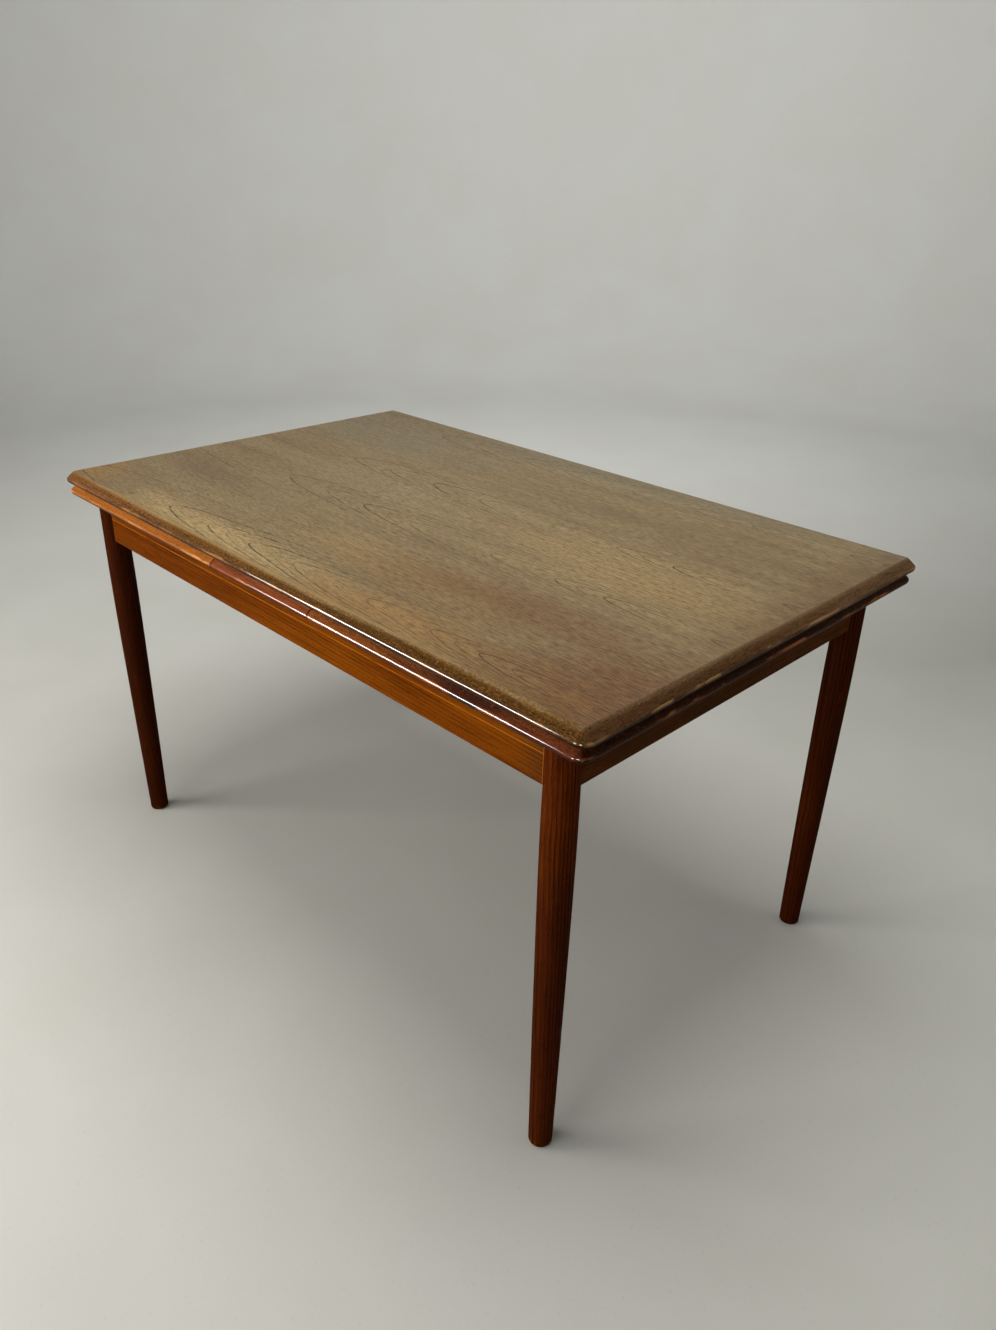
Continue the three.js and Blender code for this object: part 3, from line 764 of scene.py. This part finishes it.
def slab(name, node, body, material, waviness):
    """A board's veneered field, with a slightly uneven upper face."""
    low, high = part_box(node)
    low = (low[0] - FIELD_OVERLAP, low[1] - FIELD_OVERLAP, low[2])
    high = (high[0] + FIELD_OVERLAP, high[1] + FIELD_OVERLAP, high[2])
    steps = [max(2, round((high[i] - low[i]) / FIELD_STEP)) for i in range(2)]
    bm = bmesh.new()
    grid = {}
    for level in (low[2], high[2]):
        for i in range(steps[0] + 1):
            for j in range(steps[1] + 1):
                x = low[0] + (high[0] - low[0]) * i / steps[0]
                y = low[1] + (high[1] - low[1]) * j / steps[1]
                inside = 0 < i < steps[0] and 0 < j < steps[1]
                dips = inside and level == high[2]
                dip = waviness * (0.5 + 0.5 * noise.noise(Vector((x * 4, y * 6, 1.7)))) if dips else 0.0
                grid[level, i, j] = bm.verts.new((x, y, level - dip))

    def face(*corners):
        bm.faces.new([grid[corner] for corner in corners])

    bottom, top = low[2], high[2]
    for level in (bottom, top):
        for i in range(steps[0]):
            for j in range(steps[1]):
                face((level, i, j), (level, i + 1, j), (level, i + 1, j + 1), (level, i, j + 1))
    for j in range(steps[1]):
        for i in (0, steps[0]):
            face((bottom, i, j), (bottom, i, j + 1), (top, i, j + 1), (top, i, j))
    for i in range(steps[0]):
        for j in (0, steps[1]):
            face((bottom, i, j), (bottom, i + 1, j), (top, i + 1, j), (top, i, j))
    mesh = bpy.data.meshes.new(name)
    bm.to_mesh(mesh)
    bm.free()
    finish_piece(name, mesh, material, body, node)


def bar(name, node, body, material, arris):
    """A bar in place of a node, with all its arrises rounded."""
    low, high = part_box(node)
    bm = bmesh.new()
    bmesh.ops.create_cube(bm, size=1.0)
    bmesh.ops.scale(bm, vec=[high[i] - low[i] for i in range(3)], verts=bm.verts)
    bmesh.ops.translate(bm, vec=[(high[i] + low[i]) / 2 for i in range(3)], verts=bm.verts)
    bmesh.ops.bevel(bm, geom=bm.edges[:], offset=arris, segments=3, profile=0.5, affect="EDGES")
    mesh = bpy.data.meshes.new(name)
    bm.to_mesh(mesh)
    bm.free()
    finish_piece(name, mesh, material, body, node, angle=50)


def smooth_faces():
    """Nodes for a modifier that shades faces smooth and leaves the mesh alone."""
    group = bpy.data.node_groups.new("smooth_faces", "GeometryNodeTree")
    for way in ("INPUT", "OUTPUT"):
        group.interface.new_socket("Geometry", in_out=way, socket_type="NodeSocketGeometry")
    start = group.nodes.new("NodeGroupInput")
    smooth = group.nodes.new("GeometryNodeSetShadeSmooth")
    end = group.nodes.new("NodeGroupOutput")
    group.links.new(start.outputs[0], smooth.inputs["Geometry"])
    group.links.new(smooth.outputs[0], end.inputs[0])
    return group


SMOOTH_FACES = smooth_faces()


def keep_node(node, material, arris=0.6 * MM):
    """A CAD node whose shape is right: it gets its finish and softened arrises."""
    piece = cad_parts[node]
    for place in piece.material_slots:
        place.link = "OBJECT"
        place.material = material
    piece.modifiers.new("smooth_faces", "NODES").node_group = SMOOTH_FACES
    bevel = piece.modifiers.new("arrises", "BEVEL")
    bevel.width = arris
    bevel.segments = 2
    bevel.limit_method = "ANGLE"
    bevel.angle_limit = math.radians(40)
    bevel.harden_normals = True


# ---- legs

def leg_radius(height):
    """Radius of a leg at a height: a smooth curve through its levels."""
    last = len(LEG_LEVELS) - 1
    k = next((k for k in range(last) if height <= LEG_LEVELS[k + 1][0]), last - 1)
    before = LEG_LEVELS[max(k - 1, 0)]
    start = LEG_LEVELS[k]
    end = LEG_LEVELS[k + 1]
    after = LEG_LEVELS[min(k + 2, last)]
    rise = end[0] - start[0]
    t = min(1.0, max(0.0, (height - start[0]) / rise))
    slope_start = (end[1] - before[1]) / (end[0] - before[0]) * rise
    slope_end = (after[1] - start[1]) / (after[0] - start[0]) * rise
    t2 = t * t
    t3 = t2 * t
    return (
        (2 * t3 - 3 * t2 + 1) * start[1] + (t3 - 2 * t2 + t) * slope_start
        + (3 * t2 - 2 * t3) * end[1] + (t3 - t2) * slope_end
    )


def leg_outline(foot, top, recess):
    """Half section of a leg as (radius, height), from its glide's recess up."""
    rim = leg_radius(foot + FOOT_ROUNDING)
    outline = [(recess, foot + RECESS_DEPTH), (recess, foot + GLIDE_ROOM), (recess + RIM_CHAMFER, foot)]
    outline += quadratic((rim - FOOT_ROUNDING, foot), (rim, foot), (rim, foot + FOOT_ROUNDING), 7)
    height = foot + FOOT_ROUNDING
    while height < top - 1.2 * LEG_STEP:
        height += LEG_STEP
        outline.append((leg_radius(height), height))
    end = leg_radius(top)
    return outline + [(end, top - LEG_TOP_CHAMFER), (end - LEG_TOP_CHAMFER, top)]


def leg(name, node, glide, material):
    """A round tapered leg, slightly uneven, with a few dents and a rubbed foot."""
    low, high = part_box(node)
    middle_x, middle_y = (low[0] + high[0]) / 2, (low[1] + high[1]) / 2
    glide_low, glide_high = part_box(glide)
    foot = low[2]
    rings = []
    wear_and_highlight = []
    for radius, z in leg_outline(foot, high[2], (glide_high[0] - glide_low[0]) / 2 + GLIDE_ROOM):
        ring = []
        rubbed = []
        for j in range(LEG_AROUND):
            angle = math.tau * j / LEG_AROUND
            turn_x, turn_y = math.cos(angle), math.sin(angle)
            spot = Vector((middle_x * 3 + turn_x * 0.8, middle_y * 3 + turn_y * 0.8, z * 9))
            dent = max(0.0, noise.noise(spot * 2.3) - LEG_DENT_START)
            r = radius - LEG_UNEVENNESS * (noise.noise(spot) + 1) - LEG_DENT_DEPTH * dent
            ring.append((middle_x + r * turn_x, middle_y + r * turn_y, z))
            low_down = math.exp(-((z - foot) / FOOT_WEAR_HEIGHT))
            rubbed.append(low_down * (0.5 + 0.5 * noise.noise(spot * 6)) + dent)
        rings.append(ring)
        wear_and_highlight.append(rubbed)
    finish_piece(name, lofted(name, rings, {"wear_and_highlight": wear_and_highlight}), material, "frame", node, angle=40)


# ---- aprons

def leg_centre():
    low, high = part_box("leg_front_right")
    return abs(low[0] + high[0]) / 2, abs(low[1] + high[1]) / 2


def leg_edge(height, off_axis):
    """Reach of a leg's surface from its axis, this far beside it."""
    reach = leg_radius(height) + FINE_GAP * 2
    return math.sqrt(max(0.0, reach ** 2 - off_axis ** 2))


def faces_of(low, high, axis):
    """An apron's inner and outer face."""
    return (high[axis], low[axis]) if low[axis] < 0 else (low[axis], high[axis])


def apron_section(inner, outer, lower, upper):
    """Section of an apron as (across, height), with its long arrises rounded."""
    points = []
    corners = ((inner, lower), (outer, lower), (outer, upper), (inner, upper))
    towards = math.copysign(1, outer - inner)
    for (across, height), start in zip(corners, (180, 270, 0, 90)):
        side = -towards if across == inner else towards
        rise = 1 if height == lower else -1
        centre = (across - side * APRON_ARRIS, height + rise * APRON_ARRIS)
        for i in range(5):
            angle = math.radians(start + 90 * i / 4)
            out = towards * APRON_ARRIS * math.cos(angle)
            points.append((centre[0] + out, centre[1] + APRON_ARRIS * math.sin(angle)))
    return points


def side_apron(name, node, material):
    """Front or back apron, fitted between the legs."""
    low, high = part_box(node)
    inner, outer = faces_of(low, high, 1)
    sign = math.copysign(1, outer)
    section = apron_section(inner, outer, low[2], high[2])
    shrunk = apron_section(inner, outer - sign * END_ARRIS, low[2] + END_ARRIS, high[2] - END_ARRIS)
    leg_x, leg_y = leg_centre()
    shares = [(shrunk, -1.0, 0.0), (section, -1.0, END_ARRIS), (section, -1.0, 2.5 * END_ARRIS)]
    shares += [(section, 2 * i / APRON_SECTIONS - 1, 0.0) for i in range(1, APRON_SECTIONS)]
    shares += [(section, 1.0, -2.5 * END_ARRIS), (section, 1.0, -END_ARRIS), (shrunk, 1.0, 0.0)]
    rings = []
    wear_and_highlight = []
    for outline, share, shift in shares:
        at_arris = abs(shift) == END_ARRIS
        # the pale mark on the end arrises is a painted highlight
        wear_and_highlight.append([APRON_END_HIGHLIGHT if at_arris else 0.0] * len(outline))
        rings.append([
            (share * (leg_x - leg_edge(height, across - sign * leg_y)) + shift, across, height)
            for across, height in outline
        ])
    finish_piece(name, lofted(name, rings, {"wear_and_highlight": wear_and_highlight}), material, "frame", node, angle=50)


def end_apron(name, node, runners, material):
    """Left or right apron, fitted round the legs and notched for the runners."""
    low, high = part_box(node)
    inner, outer = faces_of(low, high, 0)
    leg_x, leg_y = leg_centre()
    leg_x = math.copysign(leg_x, outer)
    corners = [(-1.0, high[2])]  # (y, height) along the upper outline
    for runner_low, runner_high in sorted((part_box(runner) for runner in runners), key=lambda box: box[0].y):
        start, end = runner_low[1] - NOTCH_ROOM, runner_high[1] + NOTCH_ROOM
        floor = runner_low[2] - NOTCH_ROOM
        corners += [(start, high[2]), (start + NOTCH_CORNER, floor)]
        corners += [(end - NOTCH_CORNER, floor), (end, high[2])]
    corners.append((1.0, high[2]))
    limit = leg_y - LEG_KEEP_OUT
    places = [(None, high[2])]
    for (start, upper), (end, _) in zip(corners, corners[1:]):
        count = max(1, round((min(end, leg_y) - max(start, -leg_y)) / STATION_STEP))
        run = [start + (end - start) * i / count for i in range(count)]
        places += [(y, upper) for y in run if -limit < y < limit]
    places.append((None, high[2]))
    rings = []
    for k, (y, upper) in enumerate(places):
        ring = []
        for across, height in apron_section(inner, outer, low[2], upper):
            end = leg_y - leg_edge(height, across - leg_x)
            where = y if y is not None else (-end if k == 0 else end)
            ring.append((across, where, height))
        rings.append(ring)
    finish_piece(name, lofted(name, rings), material, "frame", node, angle=50)


# ---- assembly of the table

TOP_HALF = (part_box("top_lipping_right")[1][0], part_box("top_lipping_back")[1][1])
LEAF_HALF = (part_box("leaf_right_lipping_outer")[1][0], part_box("leaf_right_lipping_back")[1][1])
SEAM_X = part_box("leaf_right_lipping_inner")[0][0]  # inner end of the right leaf
CENTRE_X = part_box("centre_board")[1][0]
TOP_RUBS = {"right": ((-0.28, -0.25), (-0.17, -0.145))}  # bare stretches of an edge's nose

TOP_EDGE_LOOKS = {
    "front": dict(
        light=srgb(104, 69, 26), dark=srgb(84, 54, 17), line=srgb(40, 24, 8), speckle_depth=0.65,
        # the zone lightens the left end of the front edge: painted light, as more light falls there from the
        # left
        zones=((-0.55, -0.4, 0.5, 0.2, srgb(134, 86, 44), 0.85),), worn=srgb(150, 104, 58),
        crown=(srgb(148, 124, 86), 0.42, 0.85),
    ),
    "right": dict(
        light=srgb(98, 68, 40), dark=srgb(82, 54, 32), line=srgb(48, 28, 14), speckle_depth=0.15,
        zones=((0.65, 0.3, 0.2, 0.4, srgb(116, 90, 62), 0.5),), worn=srgb(156, 122, 80),
        nose_coat=0.3, crown=(srgb(134, 112, 84), 0.43, 1.08),
    ),
    "back": dict(
        light=srgb(112, 82, 46), dark=srgb(92, 64, 34), line=srgb(50, 30, 14), speckle_depth=0.3,
        worn=srgb(160, 116, 70), crown=(srgb(132, 114, 82), 0.45, 1.0),
    ),
    "left": dict(
        light=srgb(128, 88, 48), dark=srgb(106, 70, 36), line=srgb(60, 34, 16), speckle_depth=0.25,
        worn=srgb(172, 124, 76), crown=(srgb(140, 116, 80), 0.45, 1.0),
    ),
}
LEFT_EDGE = dict(
    light=srgb(184, 112, 44), dark=srgb(160, 90, 32), line=srgb(106, 48, 14), worn=srgb(214, 150, 84),
    nose_coat=0.5,
)
CENTRE_EDGE = dict(
    light=srgb(160, 86, 46), dark=srgb(138, 68, 34), line=srgb(78, 32, 14), worn=srgb(190, 122, 80),
)
RIGHT_EDGE = dict(
    light=srgb(190, 104, 48), dark=srgb(112, 50, 20), line=srgb(48, 16, 6), worn=srgb(190, 112, 58),
    zones=((0.26, -0.4, 0.20, 0.1, srgb(176, 100, 34), 0.8), (0.46, -0.4, 0.10, 0.1, srgb(62, 24, 14), 0.9)),
    patch_depth=1.0, fibre_depth=0.5, streak_depth=0.5, speckle_depth=0.3, coat=0.2,
)
# End lippings of the leaves: less coat, and a darker colour that is painted shade
DULL_SHADED_END = dict(coat=0.04, nose_coat=0.15, light=srgb(84, 48, 28), dark=srgb(64, 36, 20))
# How much each leg's colour is darkened: painted shade on the legs that get less light
LEG_SHADE_SHARE = {"front_right": 1.0, "front_left": 0.55, "back_right": 0.7, "back_left": 0.6}
LEG_LIGHT = srgb(104, 44, 6)
LEG_DARK = srgb(76, 27, 3)
PALE_THREAD = srgb(190, 116, 34)
APRON_TEAK = dict(
    light=srgb(132, 69, 6), dark=srgb(108, 51, 4), line=srgb(40, 13, 1), pith=(0.3, -0.4),
    # The second zone darkens and greys the right apron: painted shade and painted grey sheen on the side
    # turned from the light
    zones=((-0.45, -0.36, 0.4, 0.2, srgb(104, 49, 6), 0.8), (0.6, 0.0, 0.1, 0.8, srgb(74, 46, 24), 0.9)),
    # the worn colour here is the painted highlight on the end arrises
    worn=PALE_THREAD, thread=(0.670, 0.8 * MM, PALE_THREAD), streak_depth=0.3,
    tilt=(0.0, 0.024), ring=5.5 * MM, ring_depth=0.85, ring_share=0.2, ring_start=0.7,
    band_depth=0.2, warp=0.8 * MM, fibre_depth=0.35, pore_share=0.6, roughness=(0.4, 0.5),
    patch_depth=0.8, specular=0.0, coat=0.03,
)
PLAIN_BEECH = dict(
    light=srgb(196, 160, 114), dark=srgb(172, 134, 92), line=srgb(126, 88, 54), ring=2.7 * MM,
    ring_depth=0.3, warp=1.2 * MM, fibre_depth=0.2, pore_share=0.6, pore_depth=0.35,
    roughness=(0.52, 0.68), specular=0.3,
)
BEECH = wood("beech", pith=(0.2, -0.3), **PLAIN_BEECH)
BEECH_ACROSS = wood("beech_across", grain="y", pith=(0.25, -0.2), **PLAIN_BEECH)
STEEL = zinc_steel()
NYLON = nylon()


def make_top():
    for index, side in enumerate(SIDES):
        grain = "x" if side in ("front", "back") else "y"
        look = TOP_EDGE_LOOKS[side]
        material = edge_teak(f"top_lipping_{side}", grain, (0.3 * index, 0, 0), **look)
        edge_piece(
            f"top_edge_{side}", f"top_lipping_{side}", side, TOP_HALF, TOP_CORNER, "top",
            material, seed=index * 10.0, rubs=TOP_RUBS.get(side, ()),
        )
    slab("top_field", "top_panel", "top", top_veneer(), waviness=0.12 * MM)
    for place in ("front", "back"):
        keep_node(f"guide_peg_{place}", BEECH)
        keep_node(f"peg_stop_{place}", BEECH)


def make_leaf(side, look):
    body = f"leaf_{side}"
    span = {
        "right": {"front": (SEAM_X, None), "back": (None, -SEAM_X), "outer": (None, None)},
        "left": {"front": (None, -SEAM_X), "back": (SEAM_X, None), "outer": (None, None)},
    }[side]
    for index, part in enumerate(("front", "back", "outer")):
        which = side if part == "outer" else part
        grain = "y" if part == "outer" else "x"
        # the end lippings take the painted shade
        changes = {**look, **DULL_SHADED_END} if part == "outer" else look
        material = edge_teak(f"{body}_{part}_teak", grain, (0.41 * index, 0.02, 0), **changes)
        edge_piece(
            f"{body}_edge_{part}", f"{body}_lipping_{part}", which, LEAF_HALF, LEAF_CORNER, body,
            material, start=span[part][0], end=span[part][1], seed=30.0 + index,
        )
    unworn = {**look, "worn": None, "nose_coat": None}
    inner = edge_teak(f"{body}_inner_teak", "y", (0.9, 0.05, 0), **unworn)
    bar(f"{body}_edge_inner", f"{body}_lipping_inner", body, inner, arris=0.8 * MM)
    veneer = leaf_veneer(f"{body}_veneer", 0.13 if side == "left" else -0.21)
    slab(f"{body}_field", f"{body}_panel", body, veneer, waviness=0.1 * MM)
    for place in ("front", "back"):
        keep_node(f"{body}_runner_{place}", BEECH)
        keep_node(f"{body}_stop_{place}", BEECH_ACROSS)


def make_centre_board():
    for index, side in enumerate(("front", "back")):
        material = edge_teak(f"centre_{side}_teak", "x", (0.77 * index, 0.01, 0), **CENTRE_EDGE)
        edge_piece(
            f"centre_edge_{side}", f"centre_lipping_{side}", side, LEAF_HALF, LEAF_CORNER, "frame",
            material, start=-CENTRE_X, end=CENTRE_X, seed=50.0 + index,
        )
    keep_node("centre_board", leaf_veneer("centre_veneer", 0.33), arris=0.3 * MM)


def leg_teak(corner, index):
    low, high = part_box(f"leg_{corner}")
    centre = ((low[0] + high[0]) / 2, (low[1] + high[1]) / 2)
    # painted shade: this leg's colours are darkened by its share
    share = LEG_SHADE_SHARE[corner]
    return wood(
        f"leg_teak_{corner}", grain="z", origin=(0.37 * index, -centre[0], -centre[1]),
        light=darker(LEG_LIGHT, share), dark=darker(LEG_DARK, share), line=srgb(26, 7, 1),
        pith=(0.05, 0.045), tilt=(0.012, 0.016), ring=5.2 * MM, ring_depth=0.8, ring_start=0.5,
        ring_share=0.0, band_depth=0.45, warp=1.6 * MM, fibre_depth=0.4, pore_share=0.58,
        roughness=(0.34, 0.44), specular=0.0, coat=0.035, coat_roughness=0.16,
        # the lower part of each leg gets painted shade
        worn=srgb(130, 72, 26), low_dark=(0.6, 0.42, 0.36),
    )


def make_frame():
    for index, corner in enumerate(CORNERS):
        leg(f"turned_leg_{corner}", f"leg_{corner}", f"foot_glide_{corner}", leg_teak(corner, index))
        keep_node(f"foot_glide_{corner}", NYLON, arris=0.3 * MM)
        keep_node(f"corner_block_{corner}", BEECH)
        keep_node(f"hanger_bolt_{corner}", STEEL, arris=0.3 * MM)
        keep_node(f"wing_nut_{corner}", STEEL, arris=0.5 * MM)
    for side in ("front", "back"):
        side_apron(f"apron_board_{side}", f"apron_{side}", wood(f"apron_teak_{side}", **APRON_TEAK))
    for side in ("left", "right"):
        teak = wood(f"apron_teak_{side}", grain="y", **APRON_TEAK)
        runners = [f"leaf_{side}_runner_{place}" for place in ("front", "back")]
        end_apron(f"apron_board_{side}", f"apron_{side}", runners, teak)
        keep_node(f"cross_bearer_{side}", BEECH_ACROSS)


make_top()
make_leaf("left", LEFT_EDGE)
make_leaf("right", RIGHT_EDGE)
make_centre_board()
make_frame()


# ---- floor, light and camera

FLOOR_REACH = 4.2  # where the floor starts to curve up into the backdrop
FLOOR_RINGS = 8
COVE = 1.6
COVE_RINGS = 12
WALL_TOP = 4.5
FLOOR_AROUND = 96


def floor_material():
    s = Shader("floor")
    clouds = s.even_noise(2.0, 4.0, 0.6)
    specks = s.even_noise(160.0)
    tone = s.mix(s.remap(clouds, 0.3, 0.7), srgb(184, 184, 178), srgb(188, 188, 183))
    tone = s.mix(s.remap(specks, 0.62, 0.75, 0.0, 0.12), tone, srgb(120, 120, 114))
    s.feed(s.principled.inputs["Base Color"], tone)
    s.feed(s.principled.inputs["Roughness"], s.remap(clouds, 0.3, 0.7, 0.7, 0.85))
    s.principled.inputs["Specular IOR Level"].default_value = 0.25
    return s.material


def make_floor():
    """A pale floor that sweeps up into a round backdrop."""
    profile = [(FLOOR_REACH * i / FLOOR_RINGS, 0.0) for i in range(1, FLOOR_RINGS + 1)]
    for i in range(1, COVE_RINGS + 1):
        angle = math.radians(90 * i / COVE_RINGS)
        profile.append((FLOOR_REACH + COVE * math.sin(angle), COVE * (1 - math.cos(angle))))
    profile.append((FLOOR_REACH + COVE, WALL_TOP))
    around = FLOOR_AROUND
    points = [(0.0, 0.0, 0.0)]
    for radius, height in profile:
        for j in range(around):
            angle = math.tau * j / around
            points.append((radius * math.cos(angle), radius * math.sin(angle), height))
    faces = [(0, 1 + j, 1 + (j + 1) % around) for j in range(around)]
    for i in range(len(profile) - 1):
        for j in range(around):
            k = (j + 1) % around
            low, high = 1 + i * around, 1 + (i + 1) * around
            faces.append((low + j, high + j, high + k, low + k))
    mesh = bpy.data.meshes.new("floor")
    mesh.from_pydata(points, [], faces)
    for face in mesh.polygons:
        face.use_smooth = True
    mesh.materials.append(floor_material())
    floor = bpy.data.objects.new("floor", mesh)
    bpy.context.scene.collection.objects.link(floor)


MIDDLE = (0, 0, 0.6)
NEAR_CORNER = (0.65, -0.4, 0.73)
WARM = (1.0, 0.97, 0.92)


def area_light(name, place, aim, size, power, color=(1, 1, 1), diffuse=True, glossy=True):
    data = bpy.data.lights.new(name, "AREA")
    data.shape = "RECTANGLE"
    data.size, data.size_y = size
    data.energy = power
    data.color = color
    lamp = bpy.data.objects.new(name, data)
    lamp.location = place
    lamp.visible_diffuse = diffuse
    lamp.visible_glossy = glossy
    lamp.rotation_euler = (Vector(aim) - Vector(place)).to_track_quat("-Z", "Y").to_euler()
    bpy.context.scene.collection.objects.link(lamp)


def make_world():
    world = bpy.data.worlds.new("studio")
    world.use_nodes = True
    background = world.node_tree.nodes["Background"]
    background.inputs["Color"].default_value = srgb(232, 234, 232)
    background.inputs["Strength"].default_value = 0.15
    bpy.context.scene.world = world


def make_lights():
    area_light("window", (-1.75, -2.45, 1.2), MIDDLE, (1.4, 0.55), 60, WARM)
    area_light("front_fill", (0.1, -3.0, 1.0), MIDDLE, (2.2, 1.2), 46, (1.0, 0.97, 0.93), glossy=False)
    area_light("glint", (-1.38, -2.27, 1.12), MIDDLE, (1.12, 0.6), 100, diffuse=False)
    for index, spot in enumerate(((-0.03, -2.79, 0.86), (1.74, -2.6, 1.03))):
        area_light(f"spark_{index}", spot, NEAR_CORNER, (0.6, 0.5), 130, diffuse=False)
    area_light("overhead", (0.15, 0.0, 2.7), MIDDLE, (1.5, 1.5), 46, (1.0, 0.98, 0.94))
    area_light("side_fill", (3.0, 1.7, 0.9), MIDDLE, (1.6, 1.2), 11, (0.95, 0.98, 1.0), glossy=False)
    area_light("wall_wash", (-0.9, 1.6, 2.9), (-4.0, 3.9, 1.7), (2.6, 1.0), 120, (0.98, 0.99, 1.0))


CAMERA_PLACE = Vector((1.2268, -1.1152, 1.3077))
CAMERA_AIM = Vector((0.0561, 0.0621, 0.45))
CAMERA_ROLL = math.radians(1.41)
CAMERA_LENS = 27.15


def make_camera():
    data = bpy.data.cameras.new("camera")
    data.sensor_fit = "AUTO"
    data.sensor_width = 36.0
    data.lens = CAMERA_LENS
    camera = bpy.data.objects.new("camera", data)
    turn = (CAMERA_AIM - CAMERA_PLACE).to_track_quat("-Z", "Y") @ Quaternion((0, 0, 1), CAMERA_ROLL)
    camera.rotation_euler = turn.to_euler()
    camera.location = CAMERA_PLACE
    bpy.context.scene.collection.objects.link(camera)
    bpy.context.scene.camera = camera


make_floor()
make_world()
make_lights()
make_camera()
bpy.context.scene.view_settings.view_transform = "Standard"
